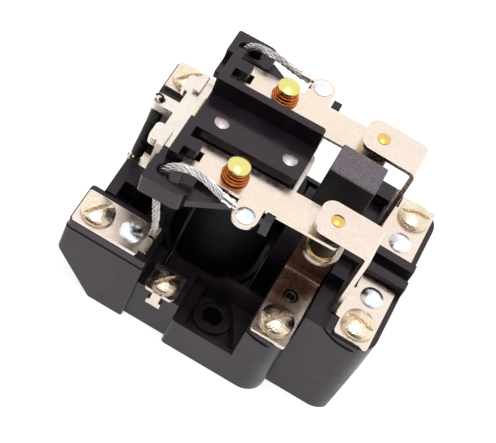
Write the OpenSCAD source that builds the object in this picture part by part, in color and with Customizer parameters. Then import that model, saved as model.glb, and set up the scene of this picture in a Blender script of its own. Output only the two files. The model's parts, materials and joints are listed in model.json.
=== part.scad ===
// Open-frame double-pole double-throw power relay with screw terminals and a blow-out magnet.
// X runs from the armature hinge (minus) to the normally closed terminals (plus).
// The two contact poles mirror each other about Y = 0. Z is up, and the base stands on Z = 0.

/* [Base moulding] */
// Overall length of the base along X
base_length = 64.5; // [64:0.1:65]
// Half depth of the base across the mounting blocks
no_block_y = 25.2; // [25:0.1:26]
// Half depth of the base at the common-terminal blocks
com_block_y = 24.8; // [24.6:0.1:25.2]
// Half depth of the base at the coil-terminal ledges
coil_ledge_y = 23.5; // [23.2:0.1:24]
// Half depth of the base at the normally closed block
nc_block_y = 20.2; // [19.8:0.1:20.6]
// Top of the common-terminal blocks
com_top = 20.6; // [20:0.1:21]
// Top of the coil-terminal ledges
coil_ledge_top = 12; // [11:0.1:13]
// Top of the normally open pillars
no_top = 19.2; // [18.6:0.1:19.8]
// Top of the normally closed block
nc_top = 25.2; // [24.8:0.1:25.6]
// Height of the low walls round the mounting pockets
pocket_wall_top = 9; // [8:0.1:10]
// Floor of the mounting pockets
pocket_floor = 5.5; // [4:0.1:5.5]
// Thickness of the floor below the magnet frame
floor_t = 3; // [2.5:0.1:3.5]

/* [Mounting] */
// Distance between the two mounting holes along Y
mount_spacing = 34.9; // [34.5:0.1:35.3]
// Position of the mounting holes along X
mount_x = 1.7; // [1.4:0.1:2]
// Radius of the mounting holes
mount_r = 2.2; // [1.8:0.1:2.4]

/* [Terminals] */
// Thickness of the terminal strips
strip_t = 1; // [0.8:0.1:1]
// Width of the terminal strips
strip_w = 8; // [7.6:0.1:8]
// Radius of the terminal screw heads
screw_head_r = 3.5; // [3.2:0.1:3.6]
// Radius of the terminal screw shanks
screw_shank_r = 1.7; // [1.5:0.1:1.8]
// Radius of the terminal rivet heads
rivet_head_r = 2.4; // [2:0.1:2.5]

/* [Contacts] */
// Distance of each pole from the centre plane
pole_y = 11.8; // [11.6:0.1:12]
// Position of the fixed and moving contacts along X
contact_x = 13.2; // [12.8:0.1:13.6]
// Radius of the contact buttons
contact_r = 3.2; // [2.8:0.1:3.3]
// Top of the normally open shelf
no_shelf_top = 36.8; // [36.4:0.1:37]
// Top of the normally closed arm
nc_arm_top = 46.6; // [46.6:0.1:46.9]

/* [Magnet system] */
// Position of the coil axis along X
coil_x = -6.2; // [-6.4:0.1:-6]
// Radius of the wound coil
coil_r = 10; // [9:0.1:10.4]
// Radius of the bobbin flanges
flange_r = 11.2; // [10.8:0.1:11.3]
// Radius of the iron core
core_r = 4; // [3.5:0.1:4.4]
// Thickness of the magnet frame
frame_t = 2; // [1.6:0.1:2]
// Height of the blow-out magnet's top
magnet_top = 48.9; // [48:0.1:49]

/* [Armature] */
// Angle of the armature above level when the coil is off
rest_tilt = 2.8; // [2.6:0.05:2.8]
// Hinge line along X
hinge_x = -22; // [-22.1:0.05:-21.9]
// Hinge line above the base
hinge_z = 34.9; // [34.85:0.05:35]
// Thickness of the armature plate
armature_t = 2; // [1.8:0.1:2]

/* [Hidden] */
$fn = 48;
eps = 0.01;
fit = 0.05;                          // radial room round a shank in its hole

// Colours
plastic = "#2b282d";
nickel = "#cdbfae";
steel = "#c9c5ba";
zinc = "#b9ad72";
copper = "#c4571d";
silver = "#cfd3d8";
gold = "#c79a35";
black = "#1b1b1d";
ferrite = "#3c373e";

// Base outline
x_left = -base_length / 2;
x_right = base_length / 2;
com_x1 = -14.6;                      // right side of the common-terminal blocks
com_y0 = 14.5;                       // inner side of the common-terminal blocks
back_x = -29.3;                      // outer side of the low back wall
no_x0 = -5;                          // left side of the mounting blocks
nc_x0 = 17.6;                        // left side of the normally closed block
pillar_x0 = 8.9;                     // left side of the normally open pillars
cavity_x0 = -23.4;                   // coil chamber
cavity_x1 = 8.9;
cavity_y = 13;
chamber_wall_y = 14.4;
chamber_wall_top = 14.6;             // beside the mounting pockets
chamfer_x = -22.5;                   // underside chamfer at the back
chamfer_z = 10.7;
block_r = 4.5;                       // large plan radius of the outer corners
edge_r = 0.8;                        // small plan radius of the other corners
wall_t = 2.5;                        // left wall of the mounting pockets
rim_t = 1.05;                        // outer wall of the mounting pockets

// Terminal strips
bend_r = 0.6;                        // inner radius of every bend
com_plate = [-31.7, -17.1];          // X span of the common plates
com_plate_y = [-24.5, -16.4];
no_plate_y0 = -24.7;
no_riser_y = -7.2;                   // front face of the normally open riser
no_shelf_y = -11.3;                  // centre of the shelf's round end
nc_plate = [23.4, 31.05];
nc_plate_y = [-19.4, -3.9];
nc_riser_x = 21.2;                   // left face of the normally closed riser
nc_arm_x0 = 9.2;
nc_arm_w = 8.2;
no_x = [contact_x - strip_w / 2, contact_x + strip_w / 2];
com_screw = [-27.9, -20.6];
no_screw = [contact_x, -20.2];
nc_screw = [27.3, -15.5];
com_rivet = [-20.3, -20.6];
nc_rivet = [27.2, -7.9];
no_eyelet = [contact_x, -13.2];
coil_screw = [-9.8, -20.9];
coil_plate_t = 0.8;
screw_depth = 9;
rivet_depth = 4;

// Magnet system
coil_bottom = floor_t + frame_t;     // top of the frame's lower leg
pole_face_z = 33.8;
bobbin_top = 33;
flange_t = 1.4;
frame_half_y = 6.5;
magnet_x = [6.9, 16.8];
magnet_half_y = 3.7;
magnet_bottom = 27;

// Armature stack, level heights before the rest tilt
arm_plate_z = hinge_z + 0.1;         // underside of the armature
arm_plate_top = arm_plate_z + armature_t;
shim_t = 0.3;
carrier_z = arm_plate_top + shim_t;  // underside of the carrier
carrier_floor = 39.7;
carrier_rail = 44.2;                 // top of the rails, the end bars and the stop tabs
carrier_x1 = 3.1;
bar_x = [-20.6, -18.6];
bar_y = 15.6;
rail_y = [5.7, 7.5];
stop_tab_y = [10.3, 13.1];
side_plate_top = 39.2;
wing_x = [-22.5, -13.1];
wing_y = [15.8, 22.2];
wing_top = 41.6;
contact_arm_z = 40.8;
contact_arm_t = 0.8;
contact_arm_top = contact_arm_z + contact_arm_t;
contact_arm_x = [-17.6, 16.2];
contact_arm_w = 7.5;
pin = [-7.5, -pole_y];
pin_r = 1;
pin_head_r = 2.45;
pin_head_z = 44.9;
ear = [-1.95, -18.8];
ear_r = 2.65;
button_t = 1.2;

// Return spring and its anchor
spring_top = [-28.2, 34.4];          // X and Z of the coil's upper end
spring_bottom = [-28.75, 17.6];
spring_r = 1.3;
anchor_z = 15.9;

// Braids, from the ferrule over the wing, down through its slot, to the common plate
braid_r = 0.85;
braid_path = [
  [-7.8, -18.3, 43.5], [-9.3, -18.1, 43.9], [-11.2, -17.9, 44.5], [-13.2, -17.8, 44.8], [-15.2, -17.8, 44.8],
  [-17, -18, 44.4], [-18.4, -18.2, 43.6], [-19.4, -18.4, 42.4], [-19.8, -18.5, 40.8],
  [-19.8, -18.6, 38.9], [-19.5, -18.7, 36.7], [-19, -18.8, 34.2], [-18.4, -18.8, 31.6],
  [-17.7, -18.7, 28.9], [-17.1, -18.6, 26.4], [-16.7, -18.5, 24], [-16.6, -18.4, 21.7]
];

module mirror_y() { children(); mirror([0, 1, 0]) children(); }
module rear() mirror([0, 1, 0]) children();
module box(x, y, z) translate([x[0], y[0], z[0]]) cube([x[1] - x[0], y[1] - y[0], z[1] - z[0]]);

// One rounded-corner cutter, then a rectangle with its own radius at each corner
module corner_cut(r) difference() {
  translate([-eps, -eps]) square(r + eps);
  translate([r, r]) circle(r = r);
}
module rounded_rect(x, y, r) translate([x[0], y[0]]) difference() {
  square([x[1] - x[0], y[1] - y[0]]);
  for (i = [0:3]) if (r[i] > 0)
    translate([(i == 1 || i == 2) ? x[1] - x[0] : 0, i >= 2 ? y[1] - y[0] : 0])
      rotate(90 * i) corner_cut(r[i]);
}
module slab(x, y, z, r) translate([0, 0, z[0]]) linear_extrude(z[1] - z[0]) rounded_rect(x, y, r);

// Extrudes an X-Z outline between two Y values, and a Y-Z outline between two X values
module along_y(y) translate([0, y[1], 0]) rotate([90, 0, 0]) linear_extrude(y[1] - y[0]) children();
module along_x(x) translate([x[0], 0, 0]) rotate([90, 0, 90]) linear_extrude(x[1] - x[0]) children();

// Quarter of a bent strip, centred on the bend's centre and turned by a right angle at a time
module bend(centre, turn) translate(centre) rotate(90 * turn) intersection() {
  difference() { circle(r = bend_r + strip_t); circle(r = bend_r); }
  square(bend_r + strip_t);
}
module tilted() translate([hinge_x, 0, hinge_z]) rotate([0, -rest_tilt, 0])
  translate([-hinge_x, 0, -hinge_z]) children();
module hole(at, r, z) translate([at[0], at[1], z[0]]) cylinder(r = r, h = z[1] - z[0]);
module dome(r, h) intersection() {
  translate([0, 0, h - (r * r + h * h) / (2 * h)]) sphere(r = (r * r + h * h) / (2 * h));
  cylinder(r = r, h = h);
}

// Base moulding
module underside_chamfer() along_y([-30, 30])
  polygon([[x_left - 1, -1], [chamfer_x + 0.9, -1], [chamfer_x, 0], [x_left, chamfer_z],
    [x_left - 1, chamfer_z + 1]]);
module com_block() difference() {
  union() {
    slab([x_left, com_x1], [-com_block_y, -com_y0], [0, com_top - 2.5], [edge_r, 0.5, 0, edge_r]);
    slab([x_left + 0.2, com_x1 - 0.1], [-com_block_y + 0.2, -com_y0], [0, com_top], [edge_r, 0.5, 0, edge_r]);
  }
  underside_chamfer();
}
module back_wall() difference() {
  union() {
    box([back_x, cavity_x0], [-com_y0 - eps, com_y0 + eps], [0, com_top + 0.6]);
    box([cavity_x0 - eps, com_x1], [-com_y0 - eps, com_y0 + eps], [0, floor_t]);
  }
  box([back_x - 1, cavity_x0 + 1], [-5, 5], [anchor_z, 30]);
  mirror_y() box([back_x + 2.3, cavity_x0 + 1], [-com_y0, -10.2], [8, 30]);
  box([back_x - 1, back_x + 1.4], [-1, 1], [anchor_z - 3, anchor_z + 1]);
  underside_chamfer();
}
module coil_ledge() union() {
  box([com_x1 - eps, no_x0 + eps], [-coil_ledge_y, -cavity_y], [0, coil_ledge_top]);
  along_y([-chamber_wall_y, -cavity_y]) polygon([[com_x1 - eps, 0], [com_x1 - eps, coil_ledge_top],
    [-2, coil_ledge_top], [0.2, chamber_wall_top], [pillar_x0 + eps, chamber_wall_top], [pillar_x0 + eps, 0]]);
}
// Hollow side of the gusset beside the mounting pocket, bowed off the chord between its ends
gusset = [for (i = [0:8]) let(t = i / 8, bow = 4 * t * (1 - t))
  [3.7 + 5.1 * t + 0.35 * bow, -chamber_wall_y + (chamber_wall_y - no_block_y + rim_t) * t + 0.15 * bow]];
module mounting_block() difference() {
  union() {
    slab([no_x0, nc_x0], [-no_block_y, -cavity_y], [0, pocket_wall_top], [edge_r, block_r, 0, 0]);
    slab([pillar_x0, nc_x0], [-no_block_y, -5.5], [0, no_top], [0.4, block_r, 0, 0]);
  }
  translate([0, 0, pocket_floor]) linear_extrude(20)
    polygon(concat([[no_x0 + wall_t, -chamber_wall_y]], gusset, [[no_x0 + wall_t, -no_block_y + rim_t]]));
}
module mounting_boss() translate([mount_x, -mount_spacing / 2, pocket_floor - eps]) difference() {
  cylinder(r = 4.3, h = 1);
  translate([0, 0, 0.4]) cylinder(r = 3.1, h = 2);
}
module nc_block() difference() {
  union() {
    slab([nc_x0 - eps, x_right], [-nc_block_y, nc_block_y], [0, nc_top], [0, block_r, block_r, 0]);
    mirror_y() slab([nc_x0 - eps, nc_plate[0] - 0.1], [-nc_block_y, -16.1], [0, nc_top + strip_t], [0, 0, 0, 0]);
    box([nc_x0 - eps, x_right], [-3.4, 3.4], [0, nc_top + 2.8]);
    box([nc_x0 - eps, nc_riser_x - 0.3], [-7.6, 7.6], [0, nc_top + strip_t]);
  }
  box([nc_x0 - 1, x_right + 1], [-1.3, 1.3], [nc_top, 40]);
  mirror_y() box([nc_x0 - eps, nc_riser_x - 0.3], [-15.8, -7.6], [23.4, 40]);
  along_y([-30, 30]) polygon([[x_right, 20], [x_right - 1, 0], [x_right - 1, -1], [x_right + 2, -1],
    [x_right + 2, 20]]);
}
module magnet_holder() difference() {
  box([magnet_x[0] - 1.6, nc_x0 + eps], [-5.6, 5.6], [0, 30]);
  box([magnet_x[0] - fit, magnet_x[1] + fit], [-magnet_half_y - fit, magnet_half_y + fit], [magnet_bottom, 40]);
}
// Round-bottomed relief under the front edge of a plate
module plate_relief(x, y, top, r) translate([x, y, top + r - 1.5]) rotate([90, 0, 0])
  cylinder(r = r, h = 0.6, center = true);
module base_moulding() color(plastic) difference() {
  union() {
    mirror_y() { com_block(); coil_ledge(); mounting_block(); mounting_boss(); }
    back_wall();
    box([cavity_x0, nc_x0], [-cavity_y - eps, cavity_y + eps], [0, floor_t]);
    nc_block();
    magnet_holder();
  }
  mirror_y() {
    hole([mount_x, -mount_spacing / 2], mount_r, [-1, 10]);
    hole(com_screw, screw_shank_r + fit, [com_top - screw_depth, 40]);
    hole(no_screw, screw_shank_r + fit, [no_top - screw_depth, 40]);
    hole(nc_screw, screw_shank_r + fit, [nc_top - screw_depth, 40]);
    hole(com_rivet, 1.2 + fit, [com_top - rivet_depth, 40]);
    hole(nc_rivet, 1.2 + fit, [nc_top - rivet_depth, 40]);
    hole(no_eyelet, 1.6 + fit, [no_top - rivet_depth, 40]);
    hole(coil_screw, 1.4 + fit, [coil_ledge_top - 6.5, 40]);
    box([-12.6, -11.4], [-18.9, -12.9], [10.95, 12.15]);
    plate_relief(no_screw[0], -no_block_y, no_top, 8);
    plate_relief(nc_screw[0] - 0.2, -nc_block_y, nc_top, 8);
  }
  hole([coil_x, 0], 4.2, [-1, 2.2]);
  hole([coil_x, 0], 2 + fit, [-1, 10]);
}

// Magnet system
module magnet_frame() color(steel) difference() {
  union() {
    box([-22.9, 4.8], [-frame_half_y, frame_half_y], [floor_t, coil_bottom]);
    box([-22.9, -22.9 + frame_t], [-frame_half_y, frame_half_y], [floor_t, hinge_z - 0.2]);
  }
  hole([coil_x, 0], 2.5, [0, 10]);
}
module core() color(steel) difference() {
  union() {
    hole([coil_x, 0], core_r, [coil_bottom, pole_face_z]);
    hole([coil_x, 0], 5, [bobbin_top, pole_face_z]);
  }
  hole([coil_x, 0], 2 + fit, [0, coil_bottom + 7]);
}
module bobbin() color(black) difference() {
  union() {
    hole([coil_x, 0], core_r + 1.2, [coil_bottom, bobbin_top]);
    hole([coil_x, 0], flange_r, [coil_bottom, coil_bottom + flange_t]);
    hole([coil_x, 0], flange_r, [bobbin_top - flange_t, bobbin_top]);
  }
  hole([coil_x, 0], core_r + fit, [0, 40]);
}
module coil_tube(r_in, r_out) translate([coil_x, 0, coil_bottom + flange_t]) difference() {
  cylinder(r = r_out, h = bobbin_top - coil_bottom - 2 * flange_t);
  translate([0, 0, -1]) cylinder(r = r_in, h = 40);
}
module coil_winding() color(copper) coil_tube(core_r + 1.2 + fit, coil_r - 0.5);
module coil_wrap() color(black) coil_tube(coil_r - 0.45, coil_r);
// Leads, from the winding down inside the chamber and through its wall to the coil terminals
lead_path = [
  [-12.2, -8.5, 24], [-12.3, -9.6, 22.4], [-12.3, -10.7, 20], [-12.3, -11.5, 17], [-12.2, -11.9, 14.6],
  [-12.1, -12.3, 12.6], [-12, -12.9, 11.7], [-12, -13.8, 11.5], [-12, -15.4, 11.45], [-12, -17, 11.45],
  [-12, -18.5, 11.45]
];
module coil_lead_front() color(black) tube(lead_path, 0.35, 8);
module coil_lead_rear() rear() coil_lead_front();
module frame_screw() color(steel) difference() {
  union() {
    hole([coil_x, 0], 3.6, [0.2, 2.2]);
    hole([coil_x, 0], 2, [2, coil_bottom + 6.5]);
  }
  box([coil_x - 4, coil_x + 4], [-0.5, 0.5], [0, 1]);
}
module blowout_magnet() color(ferrite)
  slab(magnet_x, [-magnet_half_y, magnet_half_y], [magnet_bottom + fit, magnet_top], [0.5, 0.5, 0.5, 0.5]);

// Terminals of the front pole
module com_terminal_front() color(nickel) difference() {
  union() {
    slab(com_plate, com_plate_y, [com_top, com_top + strip_t], [0.5, 0.5, 0.5, 0.5]);
    box([com_plate[1] - 1, -15.6], [-23.2, -19.4], [com_top, com_top + strip_t]);
    box([com_plate[1] - 0.6, -15.5], [-18.9, -16.9], [com_top, com_top + strip_t]);
    box([-16.9, -15.5], [-17.4, -16.9], [com_top, com_top + 2.4]);
  }
  hole(com_screw, screw_shank_r + fit, [0, 40]);
  hole(com_rivet, 1.2 + fit, [0, 40]);
}
module no_terminal_front() color(nickel) difference() {
  union() {
    slab(no_x, [no_plate_y0, no_riser_y - bend_r + eps], [no_top, no_top + strip_t], [0.6, 0.6, 0, 0]);
    along_x(no_x) {
      bend([no_riser_y - bend_r, no_top + strip_t + bend_r], 3);
      translate([no_riser_y, no_top + strip_t + bend_r - eps])
        square([strip_t, no_shelf_top - no_top - 2 * strip_t - 2 * bend_r + 2 * eps]);
      bend([no_riser_y - bend_r, no_shelf_top - strip_t - bend_r], 0);
    }
    box(no_x, [no_shelf_y, no_riser_y - bend_r + eps], [no_shelf_top - strip_t, no_shelf_top]);
    hole([contact_x, no_shelf_y], strip_w / 2, [no_shelf_top - strip_t, no_shelf_top]);
  }
  hole(no_screw, screw_shank_r + fit, [0, 40]);
  hole(no_eyelet, 1.6 + fit, [0, 30]);
  hole([contact_x, -pole_y], 1.2 + fit, [30, 40]);
}
module nc_terminal_front() color(nickel) difference() {
  y = [-pole_y - nc_arm_w / 2, -pole_y + nc_arm_w / 2];
  union() {
    slab(nc_plate, nc_plate_y, [nc_top, nc_top + strip_t], [0.6, 0.6, 0.6, 0.3]);
    slab([nc_arm_x0, nc_riser_x - bend_r + eps], y, [nc_arm_top - strip_t, nc_arm_top], [2.6, 0, 0, 2.6]);
    along_y(y) {
      translate([nc_riser_x + strip_t + bend_r - eps, nc_top]) square([1, strip_t]);
      bend([nc_riser_x + strip_t + bend_r, nc_top + strip_t + bend_r], 2);
      translate([nc_riser_x, nc_top + strip_t + bend_r - eps])
        square([strip_t, nc_arm_top - nc_top - 2 * strip_t - 2 * bend_r + 2 * eps]);
      bend([nc_riser_x - bend_r, nc_arm_top - strip_t - bend_r], 0);
    }
  }
  hole(nc_screw, screw_shank_r + fit, [0, 40]);
  hole(nc_rivet, 1.2 + fit, [0, 40]);
  hole([contact_x, -pole_y], 1.2 + fit, [40, 50]);
}
module com_terminal_rear() rear() com_terminal_front();
module no_terminal_rear() rear() no_terminal_front();
module nc_terminal_rear() rear() nc_terminal_front();
module no_contact_front() color(silver) translate([contact_x, -pole_y, 0]) {
  translate([0, 0, no_shelf_top]) cylinder(r = contact_r, h = button_t - 0.1);
  translate([0, 0, no_shelf_top - strip_t - 0.5]) cylinder(r = 1.2, h = strip_t + 0.6);
}
module nc_contact_front() color(gold) translate([contact_x, -pole_y, nc_arm_top]) {
  translate([0, 0, -strip_t - 1]) cylinder(r = 2.6, h = 1);
  translate([0, 0, -strip_t - 0.5]) cylinder(r = 1.2, h = strip_t + 0.6);
  dome(1.45, 0.6);
}
module no_contact_rear() rear() no_contact_front();
module nc_contact_rear() rear() nc_contact_front();
module coil_terminal_front() color(nickel) difference() {
  z = [coil_ledge_top, coil_ledge_top + coil_plate_t];
  union() {
    slab([-13.3, -6.3], [-coil_ledge_y - 0.5, -17.4], z, [1.2, 1.2, 0.4, 0.4]);
    box([-10.9, -8.9], [-coil_ledge_y - 0.8, -coil_ledge_y], [9.3, z[1]]);
    box([-11.5, -8.3], [-coil_ledge_y - 0.8, -coil_ledge_y], [8.4, 9.9]);
  }
  hole(coil_screw, 1.4 + fit, [0, 40]);
}
module coil_terminal_rear() rear() coil_terminal_front();

// Slotted binder-head screw, standing on z = 0
module slotted_screw(head_r, head_h, shank_r, depth, turn) {
  difference() {
    union() {
      cylinder(r = head_r, h = head_h * 0.45);
      translate([0, 0, head_h * 0.45 - eps]) dome(head_r, head_h * 0.55);
    }
    rotate(turn) translate([-head_r - 1, -0.45, head_h * 0.5]) cube([2 * head_r + 2, 0.9, 5]);
  }
  translate([0, 0, -depth]) cylinder(r = shank_r, h = depth + eps);
}
module screw_at(at, z, turn) translate([at[0], at[1], z])
  slotted_screw(screw_head_r, 2, screw_shank_r, screw_depth, turn);
module terminal_screws() color(nickel) {
  screw_at(com_screw, com_top + strip_t, 53);
  screw_at(no_screw, no_top + strip_t, 50);
  screw_at(nc_screw, nc_top + strip_t, -7);
  rear() {
    screw_at(com_screw, com_top + strip_t, -49);
    screw_at(no_screw, no_top + strip_t, -20);
    screw_at(nc_screw, nc_top + strip_t, -12);
  }
}
module coil_terminal_screws() color(nickel) mirror_y()
  translate([coil_screw[0], coil_screw[1], coil_ledge_top + coil_plate_t]) slotted_screw(2.8, 1.6, 1.4, 6, 50);
module rivet_at(at, z) translate([at[0], at[1], z]) {
  dome(rivet_head_r, 1);
  translate([0, 0, -rivet_depth]) cylinder(r = 1.2, h = rivet_depth + eps);
}
module terminal_rivets() color(silver) mirror_y() {
  rivet_at(com_rivet, com_top + strip_t);
  rivet_at(nc_rivet, nc_top + strip_t);
}
module no_eyelets() color(steel) mirror_y() translate([no_eyelet[0], no_eyelet[1], no_top - 3]) difference() {
  cylinder(r = 1.6, h = 3 + strip_t - 0.15);
  translate([0, 0, 2.2]) cylinder(r = 0.8, h = 5);
}

// Return spring, its anchor and the hinge retainers
module spring_anchor() color(nickel) difference() {
  slab([-30.2, -25.4], [-2.1, 2.1], [anchor_z, anchor_z + 0.8], [0.8, 0.8, 0.8, 0.8]);
  hole([spring_bottom[0], 0], 0.7, [10, 20]);
}
module return_spring() color(black) {
  lean = atan((spring_top[0] - spring_bottom[0]) / (spring_top[1] - spring_bottom[1]));
  translate([spring_bottom[0], 0, spring_bottom[1]]) rotate([0, lean, 0]) difference() {
    cylinder(r = spring_r, h = spring_top[1] - spring_bottom[1]);
    translate([0, 0, 0.6]) cylinder(r = spring_r - 0.45, h = spring_top[1] - spring_bottom[1] - 1.2);
  }
  translate([spring_top[0], 0, spring_top[1] - 0.2]) cylinder(r = 0.35, h = 2.6, $fn = 16);
  translate([spring_bottom[0], 0, anchor_z - 0.6]) cylinder(r = 0.35, h = 2.4, $fn = 16);
}
// Tapered leaf beside the frame, with a lip that keeps the armature's tail down
module retainer_front() color(steel) {
  along_y([-10.75, -10.35]) polygon([[-24.65, 8], [-24.25, 8], [-24.2, 22.8], [-23.9, 28.3], [-23.15, 33],
    [-22.75, 37.35], [-24.35, 37.35], [-24.3, 28.3], [-24.6, 22.8]]);
  box([-24.35, -22.9], [-10.75, -5.6], [37.35, 37.75]);
}
module retainer_rear() rear() retainer_front();

// Armature and everything on it, drawn level and then tilted to the open position
module armature() color(steel) tilted() difference() {
  z = [arm_plate_z, arm_plate_top];
  union() {
    slab([-21.5, 3.8], [-6.3, 6.3], z, [0, 1.2, 1.2, 0]);
    slab([-25, -19.8], [-9.6, 9.6], z, [0.8, 0.4, 0.4, 0.8]);
    mirror_y() slab([-26.5, -24.8], [-9.6, -5], z, [1, 0, 0, 1]);
    slab([-29.7, -24.8], [-1.5, 1.5], z, [0.8, 0, 0, 0.8]);
  }
  hole([spring_top[0], 0], 0.7, [30, 45]);
}
module leaf_shim() color("#a59a6a") tilted()
  box([-21.2, 0], [-4.9, 5.6], [arm_plate_top, arm_plate_top + shim_t]);
module carrier_side() {
  translate([0, 0, carrier_z]) linear_extrude(side_plate_top - carrier_z)
    polygon([[bar_x[0], 0], [bar_x[0], -11.4], [wing_x[0], -11.4], [wing_x[0], -21.9], [-15.4, -21.9],
      [-4.6, -15.6], [1.3, -15.6], [1.3, -17.6], [carrier_x1, -17.6], [carrier_x1, 0]]);
  box([1.3, carrier_x1], [-17.6, -15.7], [carrier_z, 41.6]);
  slab(wing_x, [-wing_y[1], -wing_y[1] + 2], [37, wing_top], [0.6, 2.2, 0, 0]);
  slab(wing_x, [-wing_y[1], -wing_y[0]], [wing_top - 2.4 - eps, wing_top], [0.6, 2.2, 0.8, 0]);
  box(bar_x, [-bar_y, -rail_y[0]], [carrier_z, carrier_rail]);
  slab([bar_x[1] - eps, -15.5], [-stop_tab_y[1], -stop_tab_y[0]], [contact_arm_top + 0.3, carrier_rail],
    [0, 0.8, 0.8, 0]);
  slab([bar_x[0], carrier_x1], [-rail_y[1], -rail_y[0]], [carrier_z, carrier_rail], [0, 0.8, 0.5, 0.9]);
  translate([pin[0], pin[1], side_plate_top - eps]) cylinder(r = 2.4, h = contact_arm_z - side_plate_top - 0.15);
}
module wing_slot() mirror_y() {
  for (x = [-19.5, -16.7]) hole([x, -18.5], 1.5, [30, 50]);
  box([-19.5, -16.7], [-20, -17], [30, 50]);
}
module carrier() color(plastic) tilted() difference() {
  union() {
    mirror_y() carrier_side();
    box([bar_x[0], carrier_x1], [-rail_y[1], rail_y[1]], [carrier_z, carrier_floor]);
  }
  wing_slot();
  mirror_y() hole(pin, pin_r + 0.02, [30, 50]);
  for (x = [-15.4, -0.3]) hole([x, 0], 1.1 + fit, [30, 50]);
}
module carrier_rivets() color(silver) tilted() for (x = [-15.4, -0.3]) translate([x, 0, 0]) {
  translate([0, 0, arm_plate_top + shim_t]) cylinder(r = 1.1, h = carrier_floor - arm_plate_top - shim_t + eps);
  translate([0, 0, carrier_floor]) dome(1.7, 0.5);
}
module guide_pin_front() color(zinc) tilted() translate([pin[0], pin[1], 0]) {
  translate([0, 0, carrier_z]) cylinder(r = pin_r, h = pin_head_z - carrier_z + eps);
  translate([0, 0, pin_head_z]) cylinder(r = pin_head_r, h = 0.4);
  translate([0, 0, pin_head_z + 0.4 - eps]) dome(pin_head_r, 0.7);
}
module guide_pin_rear() rear() guide_pin_front();

// Moving contact arm, sprung on its guide pin
module contact_arm_front() color(nickel) tilted() difference() {
  z = [contact_arm_z, contact_arm_top];
  y = [-pole_y + 0.15 - contact_arm_w / 2, -pole_y + 0.15 + contact_arm_w / 2];
  union() {
    slab(contact_arm_x, y, z, [0.4, 1, 1, 0.4]);
    box([ear[0] - ear_r, ear[0] + ear_r], [ear[1], y[0] + eps], z);
    hole(ear, ear_r, z);
  }
  box([contact_arm_x[0] - 1, -14.75], [-12.9, -10.4], [30, 50]);
  hole(pin, pin_r + 0.5, [30, 50]);
  hole(ear, 1 + fit, [30, 50]);
  hole([contact_x, -pole_y], 1.2 + fit, [30, 50]);
}
module contact_arm_rear() rear() contact_arm_front();
module moving_contact_front() color(silver) tilted() translate([contact_x, -pole_y, 0]) {
  translate([0, 0, contact_arm_z - button_t]) cylinder(r = contact_r - 0.2, h = button_t);
  translate([0, 0, contact_arm_z - eps]) cylinder(r = 1.2, h = contact_arm_t + 2 * eps);
  translate([0, 0, contact_arm_top]) cylinder(r = 2.5, h = button_t - 0.2);
}
module moving_contact_rear() rear() moving_contact_front();
module overtravel_spring_front() color(copper) tilted() translate([pin[0], pin[1], contact_arm_top + fit])
  rotate_extrude() polygon([[2.3, 0], [2.95, 0], [2.35, 3], [1.7, 3]]);
module overtravel_spring_rear() rear() overtravel_spring_front();
module braid_rivet_front() color(silver) tilted() translate([ear[0], ear[1], 0]) {
  translate([0, 0, contact_arm_top]) dome(1.95, 0.7);
  translate([0, 0, contact_arm_z - 0.4]) cylinder(r = 1, h = contact_arm_t + 0.4 + eps);
}
module braid_rivet_rear() rear() braid_rivet_front();
module ferrule_front() color(silver) tilted() translate([-7.2, -18.3, contact_arm_top + 1.25])
  rotate([0, 97, -6]) {
    cylinder(r = 0.95, h = 2.5);
    translate([0, 0, 2.4]) cylinder(r = 0.7, h = 0.7);
  }
module ferrule_rear() rear() ferrule_front();

// Tube swept along a list of points: rings square to the path, closed by end caps
function unit(v) = v / norm(v);
function tangent(p, i) = unit(p[min(i + 1, len(p) - 1)] - p[max(i - 1, 0)]);
function ring(p, i, r, n) = let(t = tangent(p, i), u = unit(cross(t, [0, 1, 0.001])), w = cross(t, u))
  [for (k = [0:n - 1]) p[i] + r * (cos(360 * k / n) * u + sin(360 * k / n) * w)];
module tube(p, r, n) polyhedron(
  points = [for (i = [0:len(p) - 1]) each ring(p, i, r, n)],
  faces = concat([[for (k = [0:n - 1]) k]],
    [for (i = [0:len(p) - 2]) for (k = [0:n - 1])
      [i * n + k, (i + 1) * n + k, (i + 1) * n + (k + 1) % n, i * n + (k + 1) % n]],
    [[for (k = [n - 1:-1:0]) (len(p) - 1) * n + k]]), convexity = 6);
module braid_front() color(silver) tube(braid_path, braid_r, 8);
module braid_rear() rear() braid_front();

base_moulding();
magnet_frame();
core();
bobbin();
coil_winding();
coil_wrap();
coil_lead_front();
coil_lead_rear();
frame_screw();
blowout_magnet();
com_terminal_front();
com_terminal_rear();
no_terminal_front();
no_terminal_rear();
nc_terminal_front();
nc_terminal_rear();
no_contact_front();
no_contact_rear();
nc_contact_front();
nc_contact_rear();
terminal_screws();
terminal_rivets();
no_eyelets();
coil_terminal_front();
coil_terminal_rear();
coil_terminal_screws();
spring_anchor();
retainer_front();
retainer_rear();
return_spring();
armature();
leaf_shim();
carrier();
carrier_rivets();
guide_pin_front();
guide_pin_rear();
contact_arm_front();
contact_arm_rear();
moving_contact_front();
moving_contact_rear();
overtravel_spring_front();
overtravel_spring_rear();
braid_rivet_front();
braid_rivet_rear();
ferrule_front();
ferrule_rear();
braid_front();
braid_rear();
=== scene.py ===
"""Looks of an open-frame power relay: materials, detailed pieces, lights and camera.

Lengths are in millimetres in the frame of the part, and MM turns them into Blender's metres.
"""

import math
import random

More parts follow.
